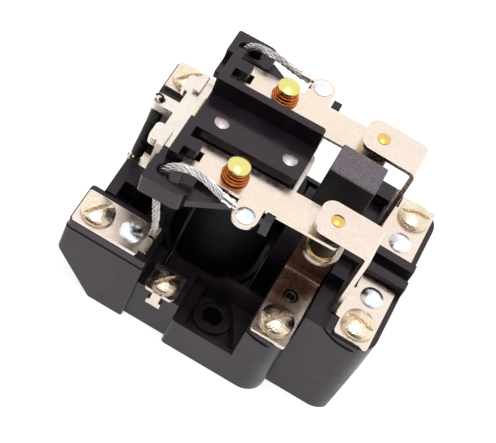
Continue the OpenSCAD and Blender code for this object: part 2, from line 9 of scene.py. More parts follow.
import bmesh
import bpy
from mathutils import Matrix, Vector
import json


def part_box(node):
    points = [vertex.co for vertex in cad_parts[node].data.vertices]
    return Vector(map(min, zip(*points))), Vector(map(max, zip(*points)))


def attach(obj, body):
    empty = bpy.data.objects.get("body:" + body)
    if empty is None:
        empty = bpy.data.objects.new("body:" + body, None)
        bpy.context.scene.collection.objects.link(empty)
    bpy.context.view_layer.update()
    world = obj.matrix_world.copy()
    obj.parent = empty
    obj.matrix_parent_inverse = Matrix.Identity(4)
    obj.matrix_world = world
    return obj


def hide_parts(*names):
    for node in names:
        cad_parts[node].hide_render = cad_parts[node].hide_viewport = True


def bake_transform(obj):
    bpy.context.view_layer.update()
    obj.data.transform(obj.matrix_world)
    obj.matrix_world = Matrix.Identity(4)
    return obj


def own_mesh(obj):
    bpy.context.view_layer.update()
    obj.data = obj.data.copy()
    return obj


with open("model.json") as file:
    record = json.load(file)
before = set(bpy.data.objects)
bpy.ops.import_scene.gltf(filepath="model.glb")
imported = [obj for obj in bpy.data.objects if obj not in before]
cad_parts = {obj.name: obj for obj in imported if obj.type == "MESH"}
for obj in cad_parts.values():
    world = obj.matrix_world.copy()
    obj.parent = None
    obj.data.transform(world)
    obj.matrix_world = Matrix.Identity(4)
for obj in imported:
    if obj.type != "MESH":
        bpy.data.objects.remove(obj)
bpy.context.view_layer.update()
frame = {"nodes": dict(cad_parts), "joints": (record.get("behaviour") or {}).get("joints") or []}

MM = 0.001
NODES = frame["nodes"]
scene = bpy.context.scene

# Where the armature stack turns, and how far it stands open at rest
HINGE = Vector(next(j for j in frame["joints"] if j["name"] == "armature_hinge")["pos_m"]) / MM
REST_TILT = math.radians(2.8)
TILT = (
    Matrix.Translation(HINGE)
    @ Matrix.Rotation(-REST_TILT, 4, "Y")
    @ Matrix.Translation(-HINGE)
)
LEVEL = Matrix.Identity(4)

# Places that the detailed pieces share with the CAD, seen from above
POLE_Y = 11.8
CONTACT_X = 13.2
PIN_X = -7.5
COIL_X = -6.2
EAR_X, EAR_Y = -1.95, 18.8
# Heights of upper faces, apart from ARM_BOTTOM and the lower end of the pins and carrier rivets
COM_TAB = 1.4  # the common terminal's tab stands this much above its plate
COM_PLATE, NO_PLATE, NC_PLATE = 21.6, 20.2, 26.2
NO_SHELF, NC_STRIP = 36.8, 46.6
CARRIER_FLOOR = 39.7
ARM_TOP, ARM_BOTTOM = 41.6, 40.8
PIN_FOOT, PIN_NECK = 37.3, 44.9

SUNK = 0.05  # how far a shank reaches into its head, so that the two overlap
BRAID_SEED, MAGNET_SEED = 11, 5


def top_of(node):
    """Highest point of a CAD node in millimetres."""
    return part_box(node)[1].z / MM


# ---------------------------------------------------------------- materials


class Paint:
    """A node material whose colour, roughness and relief vary with procedural patterns."""

    def __init__(self, name, colour, roughness, metallic=0.0, **sockets):
        self.material = bpy.data.materials.new(name)
        self.material.use_nodes = True
        self.tree = self.material.node_tree
        self.shader = self.tree.nodes["Principled BSDF"]
        self.shader.inputs["Base Color"].default_value = (*colour, 1)
        self.shader.inputs["Roughness"].default_value = roughness
        self.shader.inputs["Metallic"].default_value = metallic
        for socket, value in sockets.items():
            self.shader.inputs[socket.replace("_", " ")].default_value = value
        self.place = self.tree.nodes.new("ShaderNodeTexCoord").outputs["Object"]
        self.normal = None

    def node(self, kind, **settings):
        made = self.tree.nodes.new(kind)
        for key, value in settings.items():
            setattr(made, key, value)
        return made

    def link(self, source, target):
        self.tree.links.new(source, target)

    def stretched(self, stretch):
        """Coordinates squeezed along an axis, so that a pattern runs long the other way."""
        if stretch == (1, 1, 1):
            return self.place
        mapping = self.node("ShaderNodeMapping")
        mapping.inputs["Scale"].default_value = stretch
        self.link(self.place, mapping.inputs["Vector"])
        return mapping.outputs["Vector"]

    def noise(self, size, detail=3.0, distortion=0.0, stretch=(1, 1, 1)):
        """Cloudy pattern with features of about that size in millimetres."""
        made = self.node("ShaderNodeTexNoise")
        made.inputs["Scale"].default_value = 1 / (size * MM)
        made.inputs["Detail"].default_value = detail
        made.inputs["Distortion"].default_value = distortion
        self.link(self.stretched(stretch), made.inputs["Vector"])
        return made.outputs["Fac"]

    def cells(self, size):
        """Distance pattern of scattered cells of about that size in millimetres."""
        made = self.node("ShaderNodeTexVoronoi")
        made.inputs["Scale"].default_value = 1 / (size * MM)
        self.link(self.place, made.inputs["Vector"])
        return made.outputs["Distance"]

    def coordinate(self, axis):
        """Place along X, Y or Z in metres."""
        split = self.node("ShaderNodeSeparateXYZ")
        self.link(self.place, split.inputs["Vector"])
        return split.outputs[axis]

    def height(self, low, high):
        """Goes from 0 to 1 between two heights in millimetres."""
        return self.spread(self.coordinate("Z"), low * MM, high * MM)

    def reach(self):
        """Distance in metres from the plane between the poles, the same on both sides."""
        made = self.node("ShaderNodeMath", operation="ABSOLUTE")
        self.link(self.coordinate("Y"), made.inputs[0])
        return made.outputs[0]

    def spread(self, value, low, high, to_low=0.0, to_high=1.0):
        """Rescales a value, clamped, from low..high to to_low..to_high."""
        made = self.node("ShaderNodeMapRange")
        self.link(value, made.inputs["Value"])
        for socket, number in (
            ("From Min", low),
            ("From Max", high),
            ("To Min", to_low),
            ("To Max", to_high),
        ):
            made.inputs[socket].default_value = number
        return made.outputs["Result"]

    def product(self, a, b):
        """Multiplies two values."""
        made = self.node("ShaderNodeMath", operation="MULTIPLY")
        self.link(a, made.inputs[0])
        self.link(b, made.inputs[1])
        return made.outputs[0]

    def blend(self, share, first, second):
        """Mixes two colours, each a tuple or an output, by share."""
        made = self.node("ShaderNodeMix", data_type="RGBA")
        self.link(share, made.inputs[0])
        for socket, colour in ((6, first), (7, second)):
            if isinstance(colour, tuple):
                made.inputs[socket].default_value = (*colour, 1)
            else:
                self.link(colour, made.inputs[socket])
        return made.outputs[2]

    def clouds(self, first, second, size, detail, low=0.35, high=0.7):
        """Mixes two colours in clouds of about that size in millimetres."""
        return self.blend(self.spread(self.noise(size, detail), low, high), first, second)

    def colour(self, source):
        """Takes the surface's colour from a pattern."""
        self.link(source, self.shader.inputs["Base Color"])

    def roughness(self, source):
        """Takes the surface's roughness from a pattern."""
        self.link(source, self.shader.inputs["Roughness"])

    def relief(self, source, depth):
        """Raises the surface by up to depth millimetres where source is 1."""
        made = self.node("ShaderNodeBump")
        made.inputs["Strength"].default_value = 1
        made.inputs["Distance"].default_value = depth * MM
        self.link(source, made.inputs["Height"])
        if self.normal is not None:
            self.link(self.normal, made.inputs["Normal"])
        self.normal = made.outputs["Normal"]
        self.link(self.normal, self.shader.inputs["Normal"])


def moulded(name, colour, rough, grain_depth):
    """Dark moulded plastic: fine grain, faint flow marks, specks of dust and duller patches."""
    gloss = {"Specular_IOR_Level": 0.42, "Specular_Tint": (1, 0.885, 0.97, 1)}
    paint = Paint(name, colour, rough, **gloss)
    lighter = tuple(1.5 * c + 0.004 for c in colour)
    dusty = tuple(2.1 * c + 0.012 for c in colour)
    flow = paint.spread(paint.noise(9, 4, 0.6), 0.35, 0.7)
    specks = paint.spread(paint.cells(1.1), 0.0, 0.11, 1.0, 0.0)
    sparse = paint.product(specks, paint.spread(paint.noise(4, 2), 0.52, 0.6))
    paint.colour(paint.blend(sparse, paint.blend(flow, colour, lighter), dusty))
    paint.roughness(paint.spread(paint.noise(3.5, 4), 0.3, 0.7, rough - 0.07, rough + 0.09))
    paint.relief(paint.noise(0.16, 2), grain_depth)
    paint.relief(paint.noise(2.6, 2), 0.012)
    return paint


def plated(name, colour, rough, tarnish, amount=0.5):
    """Plated metal: cloudy tarnish, by amount, with a faint grain and fine pits."""
    paint = Paint(name, colour, rough, metallic=1.0)
    stains = paint.spread(paint.noise(5.5, 5, 0.4), 0.42, 0.78, 0.0, amount)
    fine = paint.spread(paint.noise(0.7, 4), 0.45, 0.8, 0.0, 0.3)
    paint.colour(paint.blend(fine, paint.blend(stains, colour, tarnish), tarnish))
    paint.roughness(paint.spread(paint.noise(1.6, 5, 0.2), 0.3, 0.72, rough - 0.06, rough + 0.1))
    paint.relief(paint.noise(0.22, 3), 0.006)
    paint.relief(paint.spread(paint.cells(0.9), 0.0, 0.08), 0.006)
    return paint


def hammered(name, colour, rough, tarnish):
    """Plated metal with brown tarnish and the fine dents that tumbling leaves."""
    paint = plated(name, colour, rough, tarnish, 0.45)
    paint.relief(paint.noise(0.75, 3, 0.3), 0.08)
    paint.relief(paint.noise(0.32, 2, 0.2), 0.09)
    return paint


def nickel_with_painted_shade():
    """Brown nickel strip with painted shade: darker towards the riser below the contact, darkest
    on the riser itself, and a duller shelf.
    """
    paint = plated("nickel_strip_painted_shade", (0.78, 0.66, 0.56), 0.24, (0.56, 0.44, 0.34), 0.3)
    top = top_of("no_terminal_front")
    # Painted shade: the plate darkens towards the riser and the riser is painted dark, where
    # little light reaches below the contact.
    shade_towards_riser = paint.spread(paint.reach(), 22.5 * MM, 9 * MM)
    patchy = paint.spread(paint.noise(4, 4, 0.5), 0.3, 0.7, 0.75, 1.0)
    flat = paint.blend(paint.product(shade_towards_riser, patchy), (0.76, 0.64, 0.54), (0.36, 0.26, 0.19))
    riser = paint.blend(paint.noise(3, 3), (0.19, 0.095, 0.068), (0.26, 0.14, 0.10))
    shelf = paint.blend(paint.noise(3, 3), (0.50, 0.42, 0.35), (0.60, 0.51, 0.43))
    above_plate = paint.height(top - 15.5, top - 14.5)
    at_shelf = paint.height(top - 1.1, top - 0.4)
    paint.colour(paint.blend(at_shelf, paint.blend(above_plate, flat, riser), shelf))
    return paint


def plated_paints():
    """Plated metals: material name, colour, roughness, tarnish and how much of it."""
    metals = {
        "nickel_strip": ("pale_nickel", (0.80, 0.69, 0.61), 0.22, (0.60, 0.48, 0.38), 0.25),
        "contact_strip": ("pale_nickel_arm", (0.80, 0.69, 0.59), 0.22, (0.62, 0.50, 0.40), 0.25),
        # Near-black steel for the magnet frame: painted shade where the frame shows through dark
        # gaps.
        "shaded_frame_steel": ("painted_shade_steel", (0.045, 0.040, 0.038), 0.42, (0.025, 0.022, 0.020)),
        "steel": ("bright_steel", (0.80, 0.73, 0.66), 0.26, (0.54, 0.47, 0.40), 0.3),
        "rivet": ("rivet_aluminium", (0.84, 0.86, 0.92), 0.24, (0.52, 0.54, 0.60), 0.35),
        "contact_silver": ("contact_silver", (0.86, 0.85, 0.84), 0.22, (0.55, 0.50, 0.46), 0.35),
        "contact_gold": ("contact_gold", (0.78, 0.52, 0.14), 0.26, (0.45, 0.28, 0.07)),
        # Dark silver: painted shade on the contact faces and sides that sit in the gaps between
        # the contacts.
        "contact_painted_shade": ("contact_painted_shade", (0.16, 0.13, 0.11), 0.36, (0.08, 0.06, 0.05)),
        "zinc_pin": ("yellow_zinc", (0.72, 0.68, 0.24), 0.20, (0.66, 0.60, 0.20)),
        "shim_brass": ("golden_brass", (0.48, 0.37, 0.15), 0.34, (0.30, 0.22, 0.09)),
        "braid": ("tinned_wire", (0.74, 0.71, 0.70), 0.30, (0.34, 0.31, 0.30), 0.7),
        # Dark core: painted shade in the gaps between the braid's wires.
        "shaded_braid_core": ("braid_core_painted_shade", (0.10, 0.09, 0.09), 0.6, (0.05, 0.05, 0.05)),
        # Near-black metal, much darker than the strips, for the eyelets and the pins' shanks.
        "eyelet": ("dark_eyelet", (0.10, 0.085, 0.07), 0.36, (0.05, 0.04, 0.035)),
        "enamelled_wire": ("enamelled_copper", (0.45, 0.13, 0.05), 0.3, (0.25, 0.06, 0.03)),
    }
    return {key: plated(*recipe) for key, recipe in metals.items()}


def spring_wires():
    """The orange wire of the overtravel springs and the black wire of the return spring."""
    copper = Paint("orange_copper", (0.62, 0.17, 0.03), 0.28, metallic=0.9)
    copper.colour(copper.clouds((0.74, 0.21, 0.04), (0.42, 0.10, 0.02), 1.2, 4))
    copper.relief(copper.noise(0.15, 2), 0.006)

    black = Paint("black_spring", (0.018, 0.017, 0.018), 0.33, metallic=0.6)
    black.colour(black.clouds((0.014, 0.013, 0.014), (0.05, 0.045, 0.042), 1.5, 4, 0.4))
    black.relief(black.noise(0.2, 2), 0.005)
    return {"spring_copper": copper, "spring_black": black}


def speckled_ferrite():
    """Sintered magnet: grey grains with a few bright ones on the top, which is much lighter than
    its near-black sides.
    """
    ferrite = Paint("speckled_ferrite", (0.10, 0.085, 0.10), 0.62, Specular_IOR_Level=0.3)
    grains = ferrite.spread(ferrite.noise(0.24, 6, 0.2), 0.36, 0.64)
    mottled = ferrite.blend(grains, (0.082, 0.067, 0.080), (0.175, 0.145, 0.168))
    sparkle = ferrite.spread(ferrite.cells(0.42), 0.0, 0.16, 1.0, 0.0)
    few = ferrite.product(sparkle, ferrite.spread(ferrite.noise(0.9, 2), 0.50, 0.62))
    lighter_top = ferrite.blend(few, mottled, (0.42, 0.38, 0.41))
    top = top_of("blowout_magnet")
    near_top = ferrite.height(top - 0.35, top - 0.15)
    ferrite.colour(ferrite.blend(near_top, (0.008, 0.005, 0.006), lighter_top))
    ferrite.roughness(ferrite.spread(ferrite.noise(0.6, 4), 0.35, 0.7, 0.5, 0.75))
    ferrite.relief(ferrite.noise(0.32, 5), 0.06)
    return ferrite


def coil_coverings():
    """The tape round the winding and the sleeves of its leads."""
    tape = Paint("coil_tape", (0.008, 0.007, 0.008), 0.6, Specular_IOR_Level=0.22)
    tape.colour(tape.clouds((0.006, 0.005, 0.006), (0.013, 0.011, 0.013), 3, 4))
    tape.relief(tape.noise(1.6, 3, 0, (1, 1, 0.25)), 0.05)
    tape.relief(tape.noise(0.2, 2), 0.006)

    sleeve = Paint("lead_sleeve", (0.015, 0.013, 0.015), 0.45)
    sleeve.colour(sleeve.clouds((0.010, 0.009, 0.010), (0.024, 0.021, 0.024), 1.5, 3))
    sleeve.relief(sleeve.noise(0.3, 3), 0.01)
    return {"coil_tape": tape, "lead_sleeve": sleeve}


def make_paints():
    """Every material of the relay, by the name that the pieces call it."""
    plastic = (0.0100, 0.0066, 0.0098)
    paints = {
        "moulding": moulded("charcoal_moulding", plastic, 0.30, 0.008),
        "carrier": moulded("glossy_moulding", plastic, 0.17, 0.003),
        "bobbin": moulded("bobbin_moulding", (0.007, 0.006, 0.007), 0.5, 0.006),
        "dull_rivet": hammered("dull_rivet", (0.56, 0.47, 0.47), 0.36, (0.36, 0.27, 0.27)),
        "screw_nickel": hammered("screw_nickel", (0.82, 0.71, 0.56), 0.19, (0.42, 0.29, 0.16)),
        "no_strip": nickel_with_painted_shade(),
        "ferrite": speckled_ferrite(),
        **plated_paints(),
        **spring_wires(),
        **coil_coverings(),
    }
    return {name: paint.material for name, paint in paints.items()}


PAINTS = make_paints()

# ---------------------------------------------------------------- mesh tools


class Shape:
    """Vertices, in millimetres, and faces of one piece while it is put together."""

    def __init__(self):
        self.verts = []
        self.faces = []
        self.paint_of_face = []

    def add(self, part, place=LEVEL, paint=0):
        """Adds (vertices, faces) at a place; paint counts along the paints given to build."""
        verts, faces = part
        start = len(self.verts)
        self.verts += [place @ Vector(v) for v in verts]
        self.faces += [[start + i for i in face] for face in faces]
        self.paint_of_face += [paint] * len(faces)
        return self

    def build(self, name, *paints, smooth_angle=40):
        """Makes the object, with sharp edges where faces meet at more than smooth_angle."""
        mesh = bpy.data.meshes.new(name)
        mesh.from_pydata([v * MM for v in self.verts], [], self.faces)
        for paint in paints:
            mesh.materials.append(PAINTS[paint])
        mesh.polygons.foreach_set("material_index", self.paint_of_face)
        outward = bmesh.new()
        outward.from_mesh(mesh)
        bmesh.ops.recalc_face_normals(outward, faces=outward.faces)
        outward.to_mesh(mesh)
        outward.free()
        mesh.polygons.foreach_set("use_smooth", [True] * len(mesh.polygons))
        mesh.set_sharp_from_angle(angle=math.radians(smooth_angle))
        piece = bpy.data.objects.new(name, mesh)
        scene.collection.objects.link(piece)
        return piece


def settle(piece, body, slot, *replaced):
    """Puts a finished piece on its body, in the place of its CAD nodes."""
    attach(piece, body)
    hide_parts(*replaced)


def arc(centre, radius, start, end, steps):
    """Points of an arc in a profile, from start to end degrees."""
    angles = [math.radians(start + (end - start) * i / steps) for i in range(steps + 1)]
    return [(centre[0] + radius * math.cos(a), centre[1] + radius * math.sin(a)) for a in angles]


def lathe(profile, segments=48):
    """Solid of revolution of a list of (radius, height), closed on the axis at both ends."""
    verts, faces, rings = [], [], []
    for radius, height in profile:
        if radius < 1e-6:
            rings.append([len(verts)])
            verts.append((0, 0, height))
        else:
            rings.append(list(range(len(verts), len(verts) + segments)))
            turns = [2 * math.pi * k / segments for k in range(segments)]
            verts += [(radius * math.cos(t), radius * math.sin(t), height) for t in turns]
    for low, high in zip(rings, rings[1:]):
        for k in range(segments):
            after = (k + 1) % segments
            if len(low) == 1:
                faces.append([low[0], high[k], high[after]])
            elif len(high) == 1:
                faces.append([low[k], low[after], high[0]])
            else:
                faces.append([low[k], low[after], high[after], high[k]])
    return verts, faces


def rod_profile(radius, bottom, top):
    """Profile of a plain rod."""
    return [(0, bottom), (radius, bottom), (radius, top), (0, top)]


def cap_ball(radius, height):
    """Radius of the ball that a shallow cap is cut from, and degrees from its axis to its rim."""
    ball = (radius * radius + height * height) / (2 * height)
    return ball, math.degrees(math.asin(min(1, radius / ball)))


def dome_profile(radius, height, edge, base=0.0, steps=12):
    """Profile of a domed head on a flat base: a short upright edge, then a shallow cap."""
    cap, chamfer = height - edge, 0.06
    ball, reach = cap_ball(radius, cap)
    lift = base + edge
    cap_points = arc((0, lift + cap - ball), ball, 90 - reach, 90, steps)
    rim = [(0, base), (radius - chamfer, base), (radius, base + chamfer)]
    return [*rim, *cap_points[:-1], (0, lift + cap)]


def between(before, a, b, after, t):
    """Point at share t of the way from a to b on a smooth curve through four points."""
    bend = (2 * before - 5 * a + 4 * b - after) * t * t
    return 0.5 * (2 * a + (b - before) * t + bend + (3 * a - before - 3 * b + after) * t**3)


def smooth_path(points, step):
    """Evenly spaced points on one smooth curve through the given points."""
    guides = [Vector(p) for p in points]
    guides = [2 * guides[0] - guides[1], *guides, 2 * guides[-1] - guides[-2]]
    samples = 24
    dense = []
    for i in range(1, len(guides) - 2):
        dense += [between(*guides[i - 1 : i + 3], k / samples) for k in range(samples)]
    dense.append(guides[-2])
    spaced, carried = [dense[0]], 0.0
    for a, b in zip(dense, dense[1:]):
        length = (b - a).length
        while carried + length >= step:
            share = (step - carried) / length
            a = a.lerp(b, share)
            length = (b - a).length
            spaced.append(a.copy())
            carried = 0.0
        carried += length
    if (spaced[-1] - dense[-1]).length > step / 4:
        spaced.append(dense[-1])
    return spaced


def path_frames(points):
    """Two directions square to the path at each point, carried along without twisting."""
    frames = []
    side = None
    for i, point in enumerate(points):
        tangent = (points[min(i + 1, len(points) - 1)] - points[max(i - 1, 0)]).normalized()
        if side is None:
            side = tangent.orthogonal().normalized()
        side = (side - tangent * side.dot(tangent)).normalized()
        frames.append((point, side, tangent.cross(side)))
    return frames


def tube(points, radius, sides=8):
    """Round wire along a path with closed ends; radius is a number or one per point."""
    points = [Vector(p) for p in points]
    radii = radius if isinstance(radius, list) else [radius] * len(points)
    verts, faces = [], []
    for (point, side, up), r in zip(path_frames(points), radii):
        for k in range(sides):
            turn = 2 * math.pi * k / sides
            verts.append(point + r * (math.cos(turn) * side + math.sin(turn) * up))
    last = (len(points) - 1) * sides
    for ring in range(0, last, sides):
        for k in range(sides):
            after = (k + 1) % sides
            ahead = ring + sides
            faces.append([ring + k, ring + after, ahead + after, ahead + k])
    faces.append(list(range(sides - 1, -1, -1)))
    faces.append(list(range(last, last + sides)))
    return verts, faces


def helix(bottom, top, radius_bottom, radius_top, turns, per_turn, closed_ends):
    """Points of a coil from bottom to top; the pitch is smaller by closed_ends at both ends."""
    bottom, top = Vector(bottom), Vector(top)
    axis = top - bottom
    side = Vector((0, 1, 0))
    across = axis.normalized().cross(side)
    points = []
    steps = round(turns * per_turn)
    for i in range(steps + 1):
        t = i / steps
        rise = t - closed_ends * math.sin(2 * math.pi * t) / (2 * math.pi)
        radius = radius_bottom + (radius_top - radius_bottom) * t
        turn = 2 * math.pi * turns * t
        outward = math.cos(turn) * across + math.sin(turn) * side
        points.append(bottom + axis * rise + radius * outward)
    return points


def cut(piece, cutter):
    """Subtracts the cutter's mesh from a piece for good."""
    boolean = piece.modifiers.new("cut", "BOOLEAN")
    boolean.operation = "DIFFERENCE"
    boolean.solver = "EXACT"
    boolean.object = cutter
    bpy.context.view_layer.update()
    seen = piece.evaluated_get(bpy.context.evaluated_depsgraph_get())
    piece.data = bpy.data.meshes.new_from_object(seen)
    piece.modifiers.clear()
    bpy.data.objects.remove(cutter)
    return piece


def soften(piece, width, angle, segments=2):
    """Rounds the edges of a piece where faces meet at more than angle."""
    bevel = piece.modifiers.new("round_edges", "BEVEL")
    bevel.width = width * MM
    bevel.segments = segments
    bevel.limit_method = "ANGLE"
    bevel.angle_limit = math.radians(angle)
    bevel.use_clamp_overlap = True
    bevel.harden_normals = True


def block(size, centre):
    """Plain box as (vertices, faces)."""
    half = [v / 2 for v in size]
    ends = [(x, y, z) for x in (-1, 1) for y in (-1, 1) for z in (-1, 1)]
    corners = [tuple(c + s * h for c, s, h in zip(centre, signs, half)) for signs in ends]
    faces = [[0, 1, 3, 2], [4, 6, 7, 5], [0, 4, 5, 1], [2, 3, 7, 6], [0, 2, 6, 4], [1, 5, 7, 3]]
    return corners, faces


# ---------------------------------------------------------------- CAD nodes that stay


def dress(node, paint, edge, angle=32):
    """Gives a CAD node its material and rounds its edges."""
    piece = NODES[node]
    mesh = piece.data
    mesh.materials.clear()
    mesh.materials.append(PAINTS[paint])
    if "custom_normal" in mesh.attributes:
        mesh.attributes.remove(mesh.attributes["custom_normal"])
    mesh.polygons.foreach_set("use_smooth", [True] * len(mesh.polygons))
    weld = piece.modifiers.new("weld", "WELD")
    weld.merge_threshold = 0.002 * MM
    flat = piece.modifiers.new("join_flats", "DECIMATE")
    flat.decimate_type = "DISSOLVE"
    flat.angle_limit = math.radians(0.5)
    soften(piece, edge, angle)


def dress_all():
    """The CAD nodes whose shape is right, each with the width of its rounded edges."""
    dress("base_moulding", "moulding", 0.22)
    dress("carrier", "carrier", 0.14)
    dress("bobbin", "bobbin", 0.15)
    dress("magnet_frame", "shaded_frame_steel", 0.25)
    dress("core", "steel", 0.2)
    dress("armature", "steel", 0.18)
    dress("leaf_shim", "shim_brass", 0.05)
    dress("spring_anchor", "nickel_strip", 0.12)
    dress("frame_screw", "screw_nickel", 0.1)
    dress("coil_winding", "enamelled_wire", 0.2)
    for side in ("front", "rear"):
        for strip in ("com_terminal", "nc_terminal", "coil_terminal"):
            dress(f"{strip}_{side}", "nickel_strip", 0.10)
        dress(f"no_terminal_{side}", "no_strip", 0.10)
        dress(f"contact_arm_{side}", "contact_strip", 0.08)
        dress(f"retainer_{side}", "steel", 0.06)
        dress(f"coil_lead_{side}", "lead_sleeve", 0.02, 80)


# ---------------------------------------------------------------- screws and rivets


def screw_mesh(name, radius, height, shank, depth):
    """One slotted binder-head screw standing on z = 0, with a threaded shank."""
    rim = 0.42 * height
    shoulder = 0.12
    ball, reach = cap_ball(radius, height - rim)
    dome = arc((0, height - ball), ball, 90 - reach + 4, 90, 14)
    pitch, thread_depth = 0.7, 0.28
    thread = []
    for i in range(int(depth / pitch) - 1):
        foot = -depth + pitch * i
        thread += [(shank - thread_depth, foot), (shank, foot + 0.3), (shank, foot + 0.4)]
    neck = [(shank - 0.2, -0.2), (shank - 0.2, 0)]
    under = [(radius - 0.15, 0), (radius, 0.12), (radius, rim - shoulder)]
    profile = [(0, -depth), *thread, *neck, *under, *dome[:-1], (0, height)]
    head = Shape().add(lathe(profile, 72)).build(name, "screw_nickel")
    slot_width = 0.95
    slot = Shape().add(block((2 * radius + 2, slot_width, height), (0, 0, height)))
    return cut(head, slot.build(name + "_slot", "screw_nickel"))


def place_screws(name, master, places, node, edge):
    """One piece that holds a copy of the master screw at every (x, y, z, turn)."""
    part = (
        [v.co / MM for v in master.data.vertices],
        [list(p.vertices) for p in master.data.polygons],
    )
    shape = Shape()
    for x, y, z, turn in places:
        place = Matrix.Translation((x, y, z)) @ Matrix.Rotation(math.radians(turn), 4, "Z")
        shape.add(part, place)
    bpy.data.objects.remove(master)
    piece = shape.build(name, "screw_nickel", smooth_angle=30)
    soften(piece, edge, 38, 3)
    settle(piece, "root", "screw_nickel", node)


def make_screws():
    """Six terminal screws and two smaller coil screws, each with its slot at its own angle."""
    com = top_of("com_terminal_front") - COM_TAB
    places = [
        (-27.9, -20.6, com, 53),
        (CONTACT_X, -20.2, NO_PLATE, 50),
        (27.3, -15.5, NC_PLATE, -7),
        (-27.9, 20.6, com, 49),
        (CONTACT_X, 20.2, NO_PLATE, 20),
        (27.3, 15.5, NC_PLATE, 12),
    ]
    large = screw_mesh("screw", 3.5, 2, 1.7, 9)
    place_screws("terminal_screws", large, places, "terminal_screws", 0.07)
    coil_plate = 12.8
    places = [(-9.8, -20.9, coil_plate, 50), (-9.8, 20.9, coil_plate, -50)]
    small = screw_mesh("small_screw", 2.8, 1.6, 1.4, 6)
    place_screws("coil_screws", small, places, "coil_terminal_screws", 0.06)


def make_rivets():
    """Rivets of the terminals, eyelets of the normally open strips and rivets of the carrier."""
    rivets = Shape()
    head = dome_profile(2.4, 1.0, 0.16)
    shank = rod_profile(1.2, -4, SUNK)
    for side in (-1, 1):
        for x, y, z in ((-20.3, 20.6, COM_PLATE), (27.2, 7.9, NC_PLATE)):
            place = Matrix.Translation((x, side * y, z))
            rivets.add(lathe(head), place).add(lathe(shank, 32), place)
    settle(rivets.build("terminal_rivets", "rivet"), "root", "rivet", "terminal_rivets")

    eyelets = Shape()
    foot = 16.2
    rolled = arc((1.1, 3.6), 0.28, 170, 20, 8)
    lip = [(0, 2.2), (0.75, 2.2), (0.82, 3.5), *rolled, (1.52, 3.55), (1.6, 3.4), (1.6, 0), (0, 0)]
    pip = dome_profile(0.5, 0.45, 0.05, 2.2, 6)
    for side in (-1, 1):
        place = Matrix.Translation((CONTACT_X, side * 13.2, foot))
        eyelets.add(lathe(lip, 40), place).add(lathe(pip, 24), place, 1)
    settle(eyelets.build("eyelets", "eyelet", "steel"), "root", "eyelet", "no_eyelets")

    carrier = Shape()
    head = dome_profile(1.56, 0.5, 0.08, CARRIER_FLOOR)
    shank = rod_profile(1.1, PIN_FOOT, CARRIER_FLOOR + SUNK)
    for x in (-15.4, -0.3):
        place = TILT @ Matrix.Translation((x, 0, 0))
        carrier.add(lathe(head), place).add(lathe(shank), place)
    settle(carrier.build("carrier_rivets", "dull_rivet"), "armature", "rivet", "carrier_rivets")


# ---------------------------------------------------------------- contacts, pins, springs


def make_contacts(side, end, arm):
    """The two fixed contacts of one pole and the moving contact between them."""
    at = Matrix.Translation((CONTACT_X, side * POLE_Y, 0))

    shelf = NO_SHELF
    button = [(0, shelf - 1.5), (1.2, shelf - 1.5), (1.2, shelf), (3.1, shelf)]
    button += [(3.2, shelf + 0.08), (3.2, shelf + 0.3), (3.12, shelf + 0.38), (0, shelf + 0.38)]
    rim = [(2.7, shelf + 0.3), (3.0, shelf + 0.3), (3.0, shelf + 0.95)]
    rim += [(2.92, shelf + 1.04), (2.7, shelf + 1.0), (2.7, shelf + 0.3)]
    face = [(0, shelf + 0.3), (2.72, shelf + 0.3), (2.72, shelf + 0.98)]
    face += [(2.3, shelf + 1.03), (0, shelf + 1.08)]
    fixed = Shape()
    # The face inside the gold rim is painted dark: painted shade from the arm above it.
    for paint, profile in enumerate((button, rim, face)):
        fixed.add(lathe(profile, 64), at, paint)
    piece = fixed.build(f"no_contact_{end}", "contact_silver", "contact_gold", "contact_painted_shade")
    settle(piece, "root", "contact_silver", f"no_contact_{end}")

    top = NC_STRIP
    head = dome_profile(1.38, 0.55, 0.12, top)
    under = [(0, top - 2), (2.45, top - 2), (2.6, top - 1.85), (2.6, top - 1.02), (1.2, top - 1)]
    under += [(1.2, top + 0.02), (0, top + 0.02)]
    # The contact's side and underside are painted dark: painted shade in the gap above the moving
    # contact.
    fixed = Shape().add(lathe(head), at).add(lathe(under), at, 1)
    piece = fixed.build(f"nc_contact_{end}", "contact_gold", "contact_painted_shade")
    settle(piece, "root", "contact_gold", f"nc_contact_{end}")

    low = [(0, 39.62), (2.3, 39.62), (2.7, 39.7), (2.95, 39.9), (3.0, 40.1)]
    low += [(3.0, ARM_BOTTOM), (0, ARM_BOTTOM)]
    core = rod_profile(1.2, ARM_BOTTOM - SUNK, ARM_TOP + SUNK)
    high = [(0, ARM_TOP), (2.42, ARM_TOP), (2.5, ARM_TOP + 0.1), (2.5, 42.2)]
    high += [(2.3, 42.45), (1.8, 42.56), (0, 42.6)]
    moving = Shape()
    # The upper disc is painted dark: painted shade in the gap below the fixed contact.
    for profile, paint in ((low, 0), (core, 0), (high, 1)):
        moving.add(lathe(profile, 56), TILT @ at, paint)
    piece = moving.build(f"moving_contact_{end}", "contact_silver", "contact_painted_shade")
    settle(piece, arm, "contact_silver", f"moving_contact_{end}")


